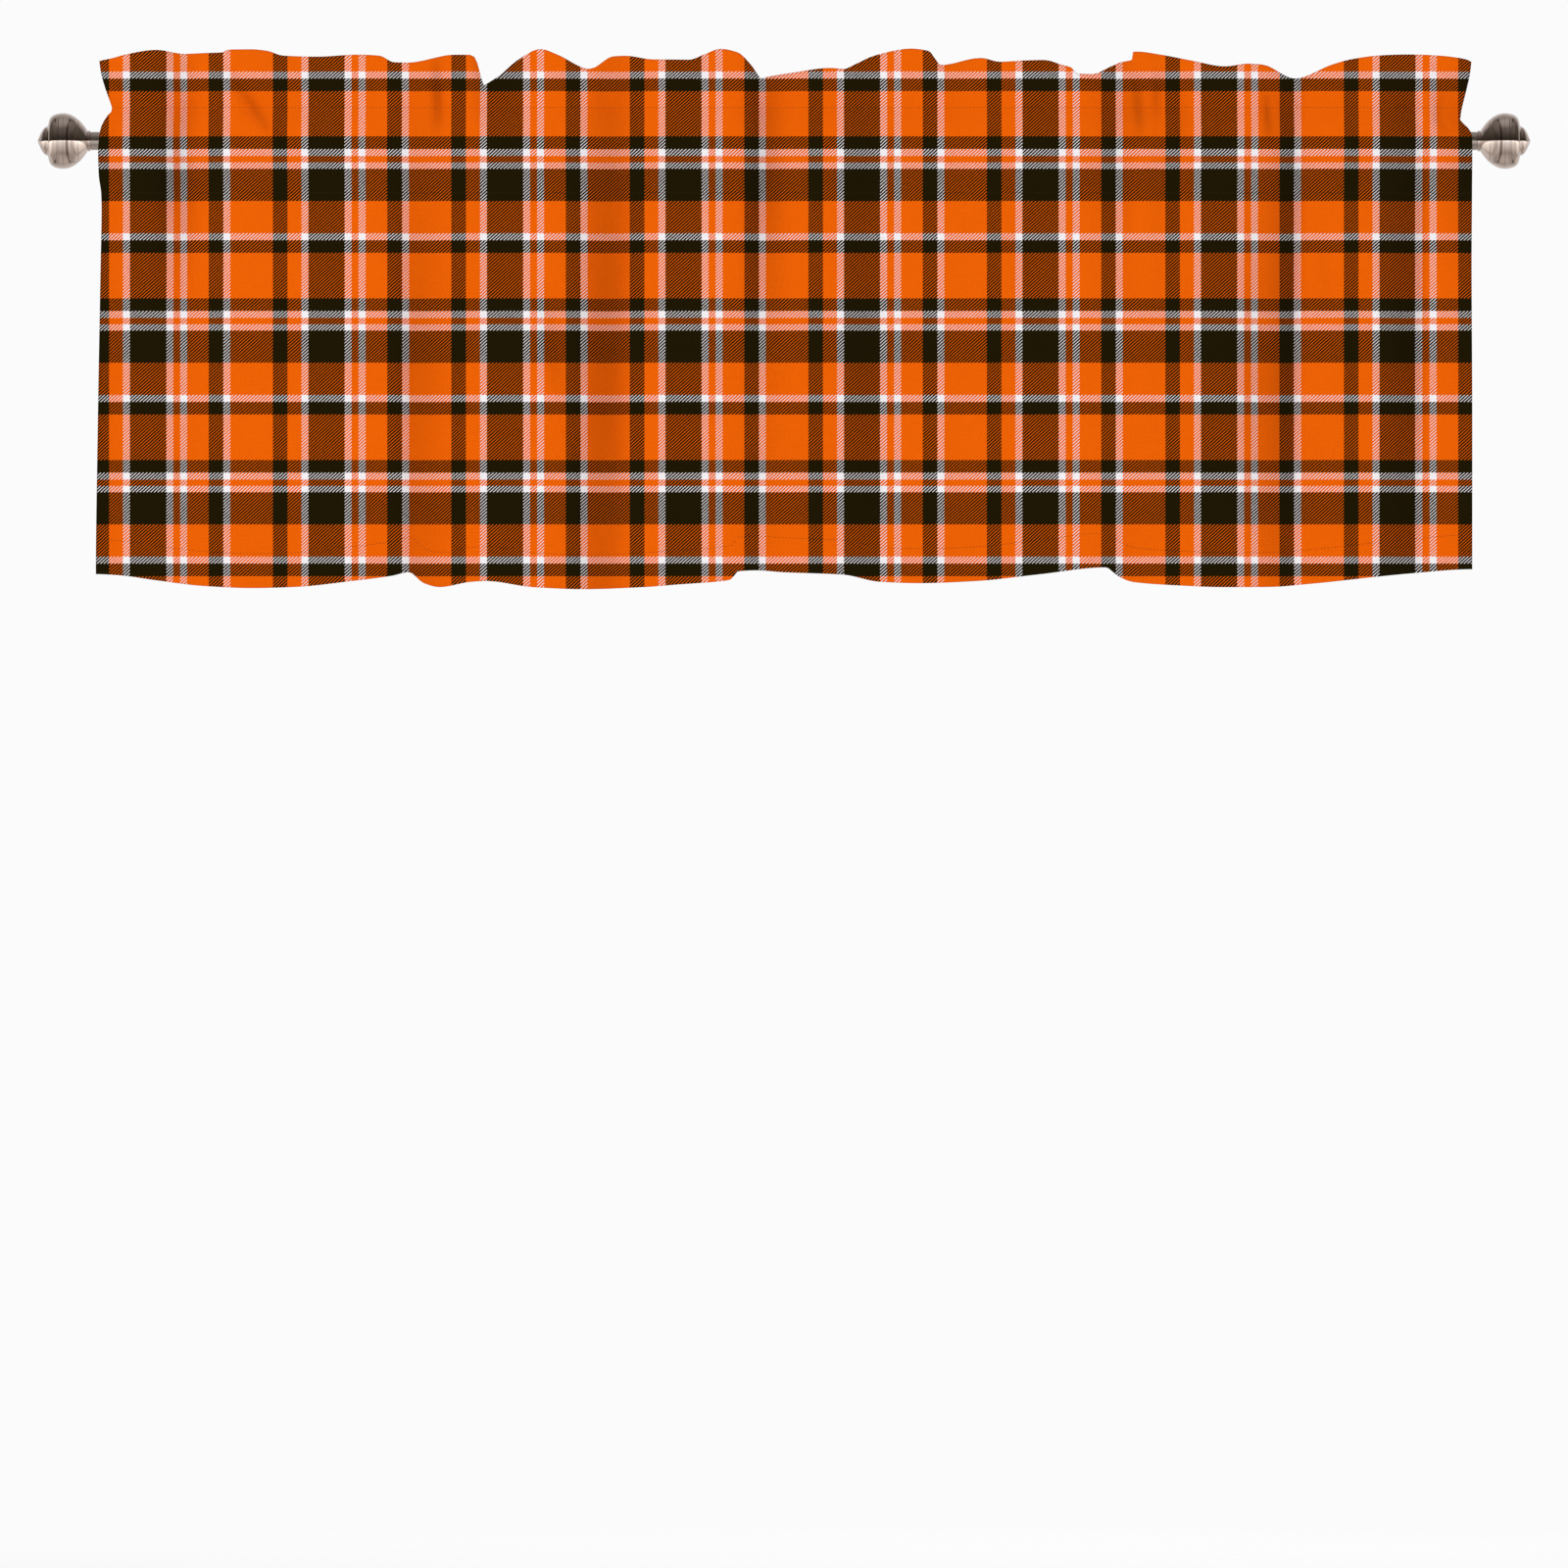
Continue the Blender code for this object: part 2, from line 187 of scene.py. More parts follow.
# The puckers beside a seam are these waves along it. height is relative. length and sway_length
# are wave lengths over 2 pi in millimetres; sway and start shift the wave, in radians.
Wave = namedtuple("Wave", "height length sway sway_length start")
PUCKER_WAVES = [
    Wave(1, 4.1, 1.3, 31, 0),
    Wave(0.7, 6.7, 2, 47, 1),
    Wave(0.5, 11.3, 0, 47, 0.4),
]

# Each seam's puckers: how high they stand, how far they reach from it, and their shift along it.
Pucker = namedtuple("Pucker", "seam_z height reach shift")
PUCKERS = [
    Pucker(UPPER_SEAM_Z, 0.22 * MM, 13 * MM, 0),
    Pucker(LOWER_SEAM_Z, 0.13 * MM, 10 * MM, 17 * MM),
]


def monotone_curve(stations, values, at):
    """A smooth curve through the stations that turns only where the values do.

    Each piece is a cubic whose end slopes are the harmonic mean of the chords beside that
    station, or level where the chords point opposite ways.
    """
    stations, values = np.asarray(stations, float), np.asarray(values, float)
    run = np.diff(stations)
    chord = np.diff(values) / run
    slope = np.zeros(len(stations))
    rising = chord[:-1] * chord[1:] > 0
    both = chord[:-1] + chord[1:]
    slope[1:-1][rising] = 2 * chord[:-1][rising] * chord[1:][rising] / both[rising]
    piece = np.clip(np.searchsorted(stations, at) - 1, 0, len(run) - 1)
    t = np.clip((at - stations[piece]) / run[piece], 0, 1)
    start, end = values[piece], values[piece + 1]
    leave, arrive = slope[piece] * run[piece], slope[piece + 1] * run[piece]
    return (
        start * (1 + 2 * t) * (1 - t) ** 2
        + end * t * t * (3 - 2 * t)
        + leave * t * (1 - t) ** 2
        - arrive * t * t * (1 - t)
    )


def edge_height(edge, x):
    """Height of the top edge or of the hem at x, a smooth curve through its table."""
    return MM * monotone_curve([p.x for p in edge], [p.z for p in edge], x / MM)


def fold_depth(x, z):
    """How far behind the ridges the cloth lies: the sum of bell-shaped troughs, one a fold.

    A trough's middle drifts in a straight line from header to hem, its two flanks have their
    own widths, and its depth follows a smooth curve through the four levels.
    """
    depth = np.zeros_like(x)
    low, high = FOLD_LEVELS[0], FOLD_LEVELS[-1]
    share = np.clip((z - low) / (high - low), 0, 1)
    for fold in FOLDS:
        middle = MM * (fold.x_hem + (fold.x_head - fold.x_hem) * share)
        flank = MM * np.where(x < middle, fold.left, fold.right)
        levels = (fold.hem, fold.skirt, fold.pocket, fold.header)
        deep = MM * monotone_curve(FOLD_LEVELS, levels, z)
        depth += deep * np.exp(-(((x - middle) / flank) ** 2))
    return depth


def crease_lift(x, z):
    """How far the creases stand forward: a bell across each crease that fades to its ends."""
    lift = np.zeros_like(x)
    for c in CREASES:
        run_x, run_z = (c.x1 - c.x0) * MM, (c.z1 - c.z0) * MM
        length = math.hypot(run_x, run_z)
        along = ((x - c.x0 * MM) * run_x + (z - c.z0 * MM) * run_z) / length**2
        across = ((x - c.x0 * MM) * run_z - (z - c.z0 * MM) * run_x) / length
        fade = np.sin(math.pi * np.clip(along, 0, 1)) ** CREASE_FADE
        lift += c.height * MM * fade * np.exp(-((across / (c.width * MM)) ** 2))
    return lift


def pucker_depth(x, z):
    """Small gathers beside each seam: a sum of short waves along x that dies away from the seam."""
    depth = np.zeros_like(x)
    for seam in PUCKERS:
        at = (x + seam.shift) / MM
        waves = sum(
            w.height * np.sin(at / w.length + w.sway * np.sin(at / w.sway_length) + w.start)
            for w in PUCKER_WAVES
        )
        depth += seam.height * waves * np.exp(-(((z - seam.seam_z) / seam.reach) ** 2))
    return depth


def middle_y(x, z):
    """Depth of the front layer's middle, without the pocket's bulge."""
    return RIDGE_Y + fold_depth(x, z) - crease_lift(x, z) + pucker_depth(x, z)


def pocket_bulge(z):
    """0 at both seams and 1 beside the rod, like the outline of a drop."""
    share = (z - LOWER_SEAM_Z) / (UPPER_SEAM_Z - LOWER_SEAM_Z)
    rod_share = -LOWER_SEAM_Z / (UPPER_SEAM_Z - LOWER_SEAM_Z)
    power = math.log(0.5) / math.log(rod_share)
    return np.sin(math.pi * np.clip(share, 0, 1) ** power)


def pocket_front_y(x, z):
    """The pocket's front layer, which puffs forward between folds and nears the rod in them."""
    beside_rod = middle_y(x, np.zeros_like(x))
    sunk = np.clip((beside_rod - RIDGE_Y) / MOST_FOLD, 0, 1)
    forward = NEAR_ROD + RIDGE_PUFF * (1 - sunk)
    return middle_y(x, z) - (beside_rod + forward) * pocket_bulge(z)


def pocket_back_y(x, z):
    """The pocket's back layer, which hangs close behind the rod."""
    beside_rod = middle_y(x, np.zeros_like(x)) + LAYER_PITCH
    return middle_y(x, z) + LAYER_PITCH + (NEAR_ROD + BACK_PUFF - beside_rod) * pocket_bulge(z)


def drawn_in(x, z):
    """x after the side edges are drawn in, most at the upper seam, fading into the cloth."""
    heights = [row.z for row in SIDE_INSETS]
    left = MM * monotone_curve(heights, [row.left for row in SIDE_INSETS], z / MM)
    right = MM * monotone_curve(heights, [row.right for row in SIDE_INSETS], z / MM)
    half = HUNG_WIDTH / 2
    return x + left * np.exp(-(x + half) / SIDE_REACH) - right * np.exp((x - half) / SIDE_REACH)


def seam_dip(z, seam_z):
    """The shallow groove along a row of stitches: a bell across it."""
    return SEAM_DIP * np.exp(-(((z - seam_z) / SEAM_DIP_REACH) ** 2))


def column_positions():
    """x of each column: evenly spaced, and one at each point of the top edge and the hem."""
    marks = np.unique([point.x * MM for point in TOP_EDGE + HEM_EDGE])
    even = np.linspace(-HUNG_WIDTH / 2, HUNG_WIDTH / 2, COLUMNS)
    clear = np.abs(even[:, None] - marks).min(axis=1) > COLUMN_GAP
    return np.union1d(even[clear], marks)


def cloth_sheet():
    """The cloth's middle surface: points (rows, columns, 3) and its plaid coordinates.

    Each row is a line across the cloth at a constant distance along it. Rows go from the hem's
    inner edge at the back, round the hem fold, up the front, over the top fold, and down the
    back to the pocket's edge. The second plaid coordinate is the height on the front. At the
    back it runs on past each fold, stretched along the header so that it is level again from
    the upper seam down.
    """
    x = column_positions()
    ones = np.ones_like(x)
    half_pitch, half_loop = LAYER_PITCH / 2, HEADER_LOOP / 2
    foot = edge_height(HEM_EDGE, x) + CLOTH_THICKNESS / 2 + half_pitch
    crown = edge_height(TOP_EDGE, x) - CLOTH_THICKNESS / 2 - half_loop
    rows = []

    def add(y, z, plaid_z):
        rows.append((x, y, z * ones, plaid_z * ones))

    lowest = foot - half_pitch
    for share in np.linspace(1, 0, HEM_ROWS):
        z = foot + HEM_HEIGHT * share
        add(middle_y(x, z) + LAYER_PITCH, z, lowest - HEM_PLAID * (z - lowest))
    for angle in np.radians(np.linspace(0, -180, HEM_FOLD_ROWS)[1:-1]):
        y = middle_y(x, foot) + half_pitch * (1 + np.cos(angle))
        z = foot + half_pitch * np.sin(angle)
        add(y, z, lowest - HEM_PLAID * (z - lowest) if math.cos(angle) > FOLD_MIDDLE else z)
    for share in np.linspace(0, 1, SKIRT_ROWS) ** SKIRT_ROW_POWER:
        z = foot + (LOWER_SEAM_Z - foot) * share
        add(middle_y(x, z) + seam_dip(z, foot + HEM_STITCH_RISE), z, z)
    for share in np.linspace(0, 1, POCKET_ROWS)[1:-1]:
        z = (LOWER_SEAM_Z + (UPPER_SEAM_Z - LOWER_SEAM_Z) * share) * ones
        add(pocket_front_y(x, z), z, z)
    add(middle_y(x, UPPER_SEAM_Z * ones), UPPER_SEAM_Z, UPPER_SEAM_Z)
    header_shares = np.linspace(0, 1, HEADER_ROWS)[1:]
    highest = crown + half_loop
    back_seam = 2 * HEADER_FOLD_Z - UPPER_SEAM_Z
    stretch = (back_seam - highest) / (highest - UPPER_SEAM_Z)
    for layer, shares in ((-1, header_shares), (1, header_shares[::-1])):
        for share in shares:
            z = UPPER_SEAM_Z + (crown - UPPER_SEAM_Z) * share
            opened = math.sin(math.pi / 2 * min(1, share / HEADER_OPENING))
            apart = half_pitch + (half_loop - half_pitch) * opened
            plaid_z = z if layer < 0 else highest + (highest - z) * stretch
            add(middle_y(x, z) + half_pitch + layer * apart, z, plaid_z)
        if layer < 0:
            for angle in np.radians(np.linspace(180, 0, HEADER_FOLD_ROWS)[1:-1]):
                y = middle_y(x, crown) + half_pitch + half_loop * np.cos(angle)
                z = crown + half_loop * np.sin(angle)
                add(y, z, z if math.cos(angle) < FOLD_MIDDLE else highest + (highest - z) * stretch)
    add(middle_y(x, UPPER_SEAM_Z * ones) + LAYER_PITCH, UPPER_SEAM_Z, back_seam)
    for share in np.linspace(1, 0, POCKET_ROWS)[1:-1]:
        z = (LOWER_SEAM_Z + (UPPER_SEAM_Z - LOWER_SEAM_Z) * share) * ones
        add(pocket_back_y(x, z), z, 2 * HEADER_FOLD_Z - z)
    for z in (LOWER_SEAM_Z, LOWER_SEAM_Z - SEAM_ALLOWANCE):
        add(middle_y(x, z * ones) + LAYER_PITCH, z, 2 * HEADER_FOLD_Z - z)
    across, depth, height, plaid_z = (np.array(part) for part in zip(*rows))
    hung_x = drawn_in(across, height)
    points = np.stack([hung_x, depth, height], axis=2)
    plaid = np.stack([hung_x, plaid_z], axis=2)
    # Painted shade: how deep each point lies in a fold or a groove, which the plaid material turns into
    # darker colour.
    groove = np.clip(-crease_lift(across, height), 0, None)
    sunk = fold_depth(across, height) + GROOVE_SHADE * groove
    painted_shade_depth = np.clip(sunk / MOST_FOLD, 0, MOST_PAINTED_SHADE_DEPTH)
    return points, plaid, painted_shade_depth


def smooth_mesh(name, vertices, faces):
    """A smoothly shaded mesh from an array of points and a list of faces."""
    mesh = bpy.data.meshes.new(name)
    mesh.from_pydata(vertices.tolist(), [], faces)
    mesh.shade_smooth()
    return mesh


def grid_mesh(name, points, plaid, painted_shade_depth):
    """A mesh of four-sided faces on a grid of points.

    The plaid coordinates are its UV map, and each point keeps how deep in a fold it lies, for the shade
    painted into the cloth's colour.
    """
    down, across = points.shape[:2]
    index = np.arange(down * across).reshape(down, across)
    corners = (index[:-1, :-1], index[:-1, 1:], index[1:, 1:], index[1:, :-1])
    faces = np.stack([c.ravel() for c in corners], axis=1)
    mesh = smooth_mesh(name, points.reshape(-1, 3), faces.tolist())
    layer = mesh.uv_layers.new(name="cloth")
    layer.data.foreach_set("uv", plaid.reshape(-1, 2)[faces.ravel()].ravel())
    mesh.attributes.new("painted_shade_depth", "FLOAT", "POINT").data.foreach_set("value", painted_shade_depth.ravel())
    return mesh


def show(name, mesh, material):
    """Puts the mesh in the scene as one piece of the given material."""
    piece = bpy.data.objects.new(name, mesh)
    mesh.materials.append(material)
    bpy.context.scene.collection.objects.link(piece)
    return piece


# ---------------------------------------------------------------- stitches
STITCH_PITCH = 3.0 * MM
STITCH_LENGTH = 2.5 * MM
THREAD_RADIUS = 0.16 * MM
STITCH_SIDES = 6
STITCH_RINGS = 3
STITCH_RISE = 1.6  # how far a stitch rises from its ends to its middle, in thread radii
STITCH_SINK = 0.8  # how deep its ends lie in the cloth, in thread radii
STITCH_TAPER = 0.4  # below 1, the thread stays thick nearer to its ends


def stitch_rows():
    """Each row's stitches: x and depth of their two ends, height, and which way is off the cloth.

    Three rows on the front and the same three on the back: upper seam, lower seam and hem.
    """
    starts = np.arange(-HUNG_WIDTH / 2 + STITCH_PITCH, HUNG_WIDTH / 2 - STITCH_PITCH, STITCH_PITCH)
    ends = starts + STITCH_LENGTH
    level = np.ones_like(starts)
    hem_row = edge_height(HEM_EDGE, starts) + HEM_STITCH_RISE
    hem_row += CLOTH_THICKNESS / 2 + LAYER_PITCH / 2
    rows = []
    for z in (UPPER_SEAM_Z * level, LOWER_SEAM_Z * level, hem_row):
        for face in (-CLOTH_THICKNESS / 2, LAYER_PITCH + CLOTH_THICKNESS / 2):
            dip = SEAM_DIP if face < 0 and z is hem_row else 0
            y = [middle_y(x, z) + face + dip for x in (starts, ends)]
            x = [drawn_in(x, z) for x in (starts, ends)]
            rows.append((*x, *y, z, math.copysign(1, face)))
    return rows


def stitches():
    """Every stitch as a small spindle: a thread that rises from the cloth, runs along and dips again.

    The lift off the cloth follows half a sine along it. The radius follows a fuller curve, the
    same sine to a power below 1, and closes to a point at each end.
    """
    share = np.linspace(0, 1, STITCH_RINGS + 2)
    around = np.linspace(0, 2 * math.pi, STITCH_SIDES, endpoint=False)
    vertices, faces = [], []
    ring = np.arange(STITCH_SIDES)
    one = [(STITCH_RINGS * STITCH_SIDES, (i + 1) % STITCH_SIDES, i) for i in ring]
    for row in range(STITCH_RINGS - 1):
        low, high = row * STITCH_SIDES + ring, row * STITCH_SIDES + np.roll(ring, -1)
        one += list(zip(low, high, high + STITCH_SIDES))
        one += list(zip(low, high + STITCH_SIDES, low + STITCH_SIDES))
    last = (STITCH_RINGS - 1) * STITCH_SIDES
    one += [(STITCH_RINGS * STITCH_SIDES + 1, last + i, last + (i + 1) % STITCH_SIDES) for i in ring]
    one = np.array(one)
    first = 0
    for start_x, end_x, start_y, end_y, z, side in stitch_rows():
        x = start_x[:, None] + (end_x - start_x)[:, None] * share
        y = start_y[:, None] + (end_y - start_y)[:, None] * share
        y = y + side * THREAD_RADIUS * (STITCH_RISE * np.sin(math.pi * share) - STITCH_SINK)
        radius = THREAD_RADIUS * np.sin(math.pi * share) ** STITCH_TAPER
        ring_x = np.repeat(x[:, 1:-1, None], STITCH_SIDES, axis=2)
        ring_y = y[:, 1:-1, None] + radius[None, 1:-1, None] * np.cos(around)
        ring_z = z[:, None, None] + radius[None, 1:-1, None] * np.sin(around)
        rings = np.stack([ring_x, ring_y, ring_z], axis=3).reshape(len(z), -1, 3)
        tips = np.stack([x[:, [0, -1]], y[:, [0, -1]], np.repeat(z[:, None], 2, axis=1)], axis=2)
        block = np.concatenate([rings, tips], axis=1)
        vertices.append(block.reshape(-1, 3))
        offsets = first + np.arange(len(z)) * block.shape[1]
        faces.append((one[None] + offsets[:, None, None]).reshape(-1, 3))
        first += len(z) * block.shape[1]
    return smooth_mesh("seam_stitches", np.concatenate(vertices), np.concatenate(faces).tolist())


# ---------------------------------------------------------------- shader helpers
class Nodes:
    """Short calls for building the node tree of one material or of the world."""

    def __init__(self, owner, shader):
        owner.use_nodes = True
        self.owner = owner
        self.tree = owner.node_tree
        self.shader = self.tree.nodes[shader]

    def add(self, kind, **settings):
        node = self.tree.nodes.new(kind)
        for key, value in settings.items():
            setattr(node, key, value)
        return node

    def feed(self, socket, value):
        if isinstance(value, bpy.types.NodeSocket):
            self.tree.links.new(value, socket)
        else:
            socket.default_value = value

    def math(self, operation, *values):
        node = self.add("ShaderNodeMath", operation=operation)
        for socket, value in zip(node.inputs, values):
            self.feed(socket, value)
        return node.outputs[0]

    def mix(self, factor, a, b, blend_type="MIX"):
        node = self.add("ShaderNodeMix", data_type="RGBA", blend_type=blend_type)
        for socket, value in zip((node.inputs[0], node.inputs[6], node.inputs[7]), (factor, a, b)):
            self.feed(socket, value)
        return node.outputs[2]

    def ramp(self, position, stops, interpolation="LINEAR"):
        """A colour ramp through (place, colour) stops."""
        node = self.add("ShaderNodeValToRGB")
        elements = node.color_ramp.elements
        node.color_ramp.interpolation = interpolation
        for i, (place, colour) in enumerate(stops):
            stop = elements[i] if i < 2 else elements.new(place)
            stop.position = place
            stop.color = colour
        self.feed(node.inputs[0], position)
        return node.outputs[0]

    def noise(self, vector, scale, detail):
        node = self.add("ShaderNodeTexNoise")
        self.feed(node.inputs["Vector"], vector)
        self.feed(node.inputs["Scale"], scale)
        self.feed(node.inputs["Detail"], detail)
        return node.outputs["Fac"]

    def lightness(self, colour):
        node = self.add("ShaderNodeRGBToBW")
        self.feed(node.inputs[0], colour)
        return node.outputs[0]

    def spread(self, value, low, high, to_low, to_high):
        node = self.add("ShaderNodeMapRange")
        for socket, number in zip(node.inputs, (value, low, high, to_low, to_high)):
            self.feed(socket, number)
        return node.outputs[0]

    def stretched(self, vector, scale):
        node = self.add("ShaderNodeMapping")
        self.feed(node.inputs["Vector"], vector)
        node.inputs["Scale"].default_value = scale
        return node.outputs[0]

    def bump(self, height, distance, strength, normal=None):
        node = self.add("ShaderNodeBump")
        self.feed(node.inputs["Height"], height)
        self.feed(node.inputs["Distance"], distance)
        self.feed(node.inputs["Strength"], strength)
        if normal is not None:
            self.feed(node.inputs["Normal"], normal)
        return node.outputs[0]


def new_material(name):
    """The nodes of a new material."""
    return Nodes(bpy.data.materials.new(name), "Principled BSDF")


def srgb(red, green, blue):
    """A colour from 0 to 255 as the shader's linear one."""
    parts = np.array([red, green, blue]) / 255
    linear = np.where(parts <= 0.04045, parts / 12.92, ((parts + 0.055) / 1.055) ** 2.4)
    return (*linear.tolist(), 1.0)


# ---------------------------------------------------------------- plaid twill
ORANGE = srgb(238, 98, 0)
BLACK = srgb(29, 21, 0)
WHITE = srgb(244, 240, 243)
LINES_PER_REPEAT = 50  # twill lines in one repeat of the plaid, both ways
DARK_SHARE = 0.72  # how much of a twill line the darker of its two yarns covers
FOLD_SHADE = 0.27  # how much the painted shade darkens the cloth's colour at the bottom of the deepest fold
FOLD_SHADE_POWER = 1.6  # above 1, the painted shade darkens shallow folds less
WARP_PITCH = 0.52 * MM
WEFT_PITCH = 0.57 * MM
TWILL_RELIEF = 0.25 * MM
WEAVE_RELIEF = 0.05 * MM
SLUB_RELIEF = 0.08 * MM
SLUB_THIN = 900  # a slub's noise scale across its yarn, per metre
SLUB_LONG = 60  # and along its yarn
WARP_REPEAT = 157 * MM
WEFT_REPEAT = 142.2 * MM
WARP_START = -575.3 * MM
WEFT_START = 60.7 * MM

# Each stripe's colour and how many twill lines wide it is, from left to right and from the top down.
Stripe = namedtuple("Stripe", "colour lines")
WARP_STRIPES = [
    Stripe(BLACK, 10), Stripe(WHITE, 2), Stripe(ORANGE, 2), Stripe(WHITE, 2),
    Stripe(ORANGE, 6), Stripe(BLACK, 4), Stripe(WHITE, 2), Stripe(ORANGE, 12),
    Stripe(BLACK, 4), Stripe(ORANGE, 4), Stripe(WHITE, 2),
]  # fmt: skip
WEFT_STRIPES = [
    Stripe(WHITE, 2), Stripe(BLACK, 4), Stripe(ORANGE, 14), Stripe(BLACK, 4),
    Stripe(WHITE, 2), Stripe(ORANGE, 2), Stripe(WHITE, 2), Stripe(BLACK, 10),
    Stripe(ORANGE, 10),
]  # fmt: skip


def stripe_colour(kit, turns, stripes):
    """The stripe's colour at a distance counted in repeats: a stepped ramp over its fraction."""
    starts = np.cumsum([0] + [stripe.lines for stripe in stripes[:-1]]) / LINES_PER_REPEAT
    stops = [(start, stripe.colour) for start, stripe in zip(starts.tolist(), stripes)]
    return kit.ramp(kit.math("FRACT", turns), stops, "CONSTANT")


def plaid_material():
    """Orange, near-black and white plaid in twill.

    Warp stripes follow u and weft stripes v. Where the two differ, diagonal lines rising to the
    right show the warp and the weft by turns. Twill lines, threads and slubs raise the surface,
    and shade is painted into the cloth's colour, darker the deeper a point lies in a fold or groove.
    """
    kit = new_material("plaid_twill")
    uv = kit.add("ShaderNodeUVMap", uv_map="cloth").outputs[0]
    parts = kit.add("ShaderNodeSeparateXYZ")
    kit.feed(parts.inputs[0], uv)
    u, v = parts.outputs[0], parts.outputs[1]
    across = kit.math("DIVIDE", kit.math("SUBTRACT", u, WARP_START), WARP_REPEAT)
    down = kit.math("DIVIDE", kit.math("SUBTRACT", WEFT_START, v), WEFT_REPEAT)
    warp = stripe_colour(kit, across, WARP_STRIPES)
    weft = stripe_colour(kit, down, WEFT_STRIPES)
    lines = kit.math("MULTIPLY", kit.math("ADD", across, down), float(LINES_PER_REPEAT))
    phase = kit.math("FRACT", lines)
    darker = kit.math("LESS_THAN", kit.lightness(warp), kit.lightness(weft))
    warp_share = kit.spread(darker, 0, 1, 1 - DARK_SHARE, DARK_SHARE)
    colour = kit.mix(kit.math("LESS_THAN", phase, warp_share), weft, warp)

    warp_slub = kit.noise(kit.stretched(uv, (SLUB_THIN, SLUB_LONG, 1)), 1.0, 2.0)
    weft_slub = kit.noise(kit.stretched(uv, (SLUB_LONG, SLUB_THIN, 1)), 1.0, 2.0)
    slub = kit.math("ADD", warp_slub, weft_slub)
    worn = kit.noise(uv, 9.0, 3.0)
    tone = kit.math(
        "ADD", kit.spread(slub, 0.6, 1.4, 0.94, 1.04), kit.spread(worn, 0.3, 0.7, -0.015, 0.015)
    )
    # Painted shade: the cloth's colour, with its yarn tone and wear, darkens with the depth of the fold
    # or groove that each point lies in.
    painted_shade_depth = kit.add("ShaderNodeAttribute", attribute_name="painted_shade_depth").outputs["Fac"]
    painted_shade_share = kit.math("MULTIPLY", kit.math("POWER", painted_shade_depth, FOLD_SHADE_POWER), FOLD_SHADE)
    tone = kit.math("MULTIPLY", tone, kit.math("SUBTRACT", 1.0, painted_shade_share))
    tone_and_painted_shade = kit.add("ShaderNodeCombineXYZ")
    for socket in tone_and_painted_shade.inputs:
        kit.feed(socket, tone)
    colour = kit.mix(1.0, colour, tone_and_painted_shade.outputs[0], "MULTIPLY")
    kit.feed(kit.shader.inputs["Base Color"], colour)

    ridge = kit.math("ABSOLUTE", kit.math("SUBTRACT", phase, 0.5))
    threads = kit.math("SINE", kit.math("MULTIPLY", u, 2 * math.pi / WARP_PITCH))
    picks = kit.math("SINE", kit.math("MULTIPLY", v, 2 * math.pi / WEFT_PITCH))
    weave = kit.math("MULTIPLY", threads, picks)
    normal = kit.bump(ridge, TWILL_RELIEF, 0.5)
    normal = kit.bump(weave, WEAVE_RELIEF, 0.5, normal)
    normal = kit.bump(slub, SLUB_RELIEF, 0.5, normal)
    kit.feed(kit.shader.inputs["Normal"], normal)
    kit.shader.inputs["Roughness"].default_value = 0.88
    kit.shader.inputs["Specular IOR Level"].default_value = 0.05
    kit.shader.inputs["Sheen Weight"].default_value = 0.015
    kit.shader.inputs["Sheen Roughness"].default_value = 0.6
    return kit.owner


STRAND_TWIST = 0.35 * MM  # one turn of the thread's two strands
STRAND_RELIEF = 0.03 * MM


def thread_material():
    """Dark brown sewing thread of two strands twisted together, with a slight lustre and shade painted
    between the strands.
    """
    kit = new_material("dark_thread")
    place = kit.add("ShaderNodeTexCoord").outputs["Object"]
    parts = kit.add("ShaderNodeSeparateXYZ")
    kit.feed(parts.inputs[0], place)
    slant = kit.math("ADD", parts.outputs[0], parts.outputs[2])
    twist = kit.math("SINE", kit.math("MULTIPLY", slant, 2 * math.pi / STRAND_TWIST))
    # Painted shade: the colour is darker where the strands dip between each other and lighter on their
    # crowns, on the same wave as the bump.
    tone = kit.spread(twist, -1, 1, 0, 1)
    kit.feed(kit.shader.inputs["Base Color"], kit.mix(tone, srgb(38, 26, 12), srgb(66, 46, 26)))
    kit.feed(kit.shader.inputs["Normal"], kit.bump(twist, STRAND_RELIEF, 0.6))
    kit.shader.inputs["Roughness"].default_value = 0.55
    kit.shader.inputs["Specular IOR Level"].default_value = 0.25
    return kit.owner


SCRATCH_SCALE = 1500.0
SCRATCH_DEPTH = 0.02 * MM
GRAIN_SCALE = 12.0
CLOUD_SCALE = 70.0
CLOUD_SHADE = 0.82  # the clouded metal's tint as a share of the clear one


def metal_material(name, tint, roughness, grain_axis=None):
    """Nickel with a warm tint: fine scratches, faint clouding, and grain along one axis if given."""
    kit = new_material(name)
    place = kit.add("ShaderNodeTexCoord").outputs["Object"]
    scale = [SCRATCH_SCALE] * 3
    if grain_axis is not None:
        scale[grain_axis] = GRAIN_SCALE
    grain = kit.noise(kit.stretched(place, scale), 1.0, 3.0)
    cloud = kit.noise(place, CLOUD_SCALE, 3.0)
    dark = tuple(CLOUD_SHADE * part for part in tint[:3]) + (1.0,)
    kit.feed(kit.shader.inputs["Base Color"], kit.mix(kit.spread(cloud, 0.35, 0.7, 0, 1), tint, dark))
    rough = kit.math(
        "ADD", kit.spread(grain, 0.3, 0.7, roughness * 0.8, roughness * 1.2),
        kit.spread(cloud, 0.3, 0.7, -0.02, 0.03),
    )
    kit.feed(kit.shader.inputs["Roughness"], rough)
    kit.feed(kit.shader.inputs["Normal"], kit.bump(grain, SCRATCH_DEPTH, 0.25))
    kit.shader.inputs["Metallic"].default_value = 1.0
    return kit.owner


